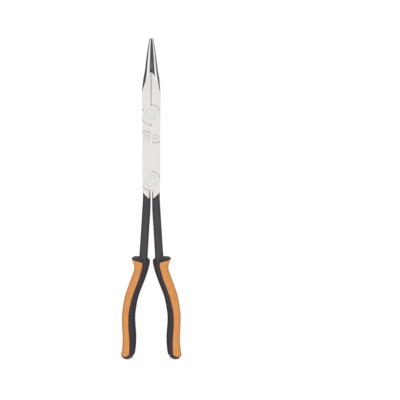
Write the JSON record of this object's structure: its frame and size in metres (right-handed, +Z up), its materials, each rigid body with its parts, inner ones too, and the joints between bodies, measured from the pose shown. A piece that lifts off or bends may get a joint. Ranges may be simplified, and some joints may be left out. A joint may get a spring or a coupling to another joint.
{
  "type": "double-jointed long nose pliers",
  "caption": "Extra-long straight long nose pliers with compound joints, bright ground head, black shanks and two-colour curved grips.",
  "frame": {"origin": "centre of the bounding box in X and Y, at the surface that the grips lie on", "axes": "+Y from the grips to the nose, +X to the right seen from the front face, +Z up out of the surface, square to both lever planes"},
  "size_m": [0.0638, 0.34, 0.016],
  "materials": {
    "bright_steel": "ground flat and polished, fine lengthwise grinding; the shanks of the same forgings are black satin",
    "rivet_steel": "ground flush with the head",
    "black_grip": "fine matt moulded texture",
    "orange_grip": "soft satin elastomer"
  },
  "bodies": {
    "left_handle": {"handle_lever_left": "bright_steel", "grip_sleeve_left": "black_grip", "grip_panel_left": "orange_grip", "rear_pivot_rivet": "rivet_steel", "link_rivet_right": "rivet_steel"},
    "right_handle": {"handle_lever_right": "bright_steel", "grip_sleeve_right": "black_grip", "grip_panel_right": "orange_grip", "link_rivet_left": "rivet_steel"},
    "left_jaw": {"jaw_left": "bright_steel", "front_pivot_rivet": "rivet_steel"},
    "right_jaw": {"jaw_right": "bright_steel"}
  },
  "joints": [
    {"name": "handle_pivot", "type": "hinge", "parent": "left_handle", "child": "right_handle", "pos_m": [0, 0.0185, 0.008], "axis": [0, 0, 1], "range_deg": [0, 19.6]},
    {"name": "right_link", "type": "hinge", "parent": "left_handle", "child": "left_jaw", "pos_m": [0.00475, 0.0646, 0.008], "axis": [0, 0, 1], "range_deg": [0, 29.7]},
    {"name": "left_link", "type": "hinge", "parent": "right_handle", "child": "right_jaw", "pos_m": [-0.00475, 0.0646, 0.008], "axis": [0, 0, 1], "range_deg": [-29.7, 0]}
  ],
  "couplings": [
    {"joint": "right_link", "follows": "handle_pivot", "ratio": 1.51},
    {"joint": "left_link", "follows": "handle_pivot", "ratio": -1.51}
  ]
}
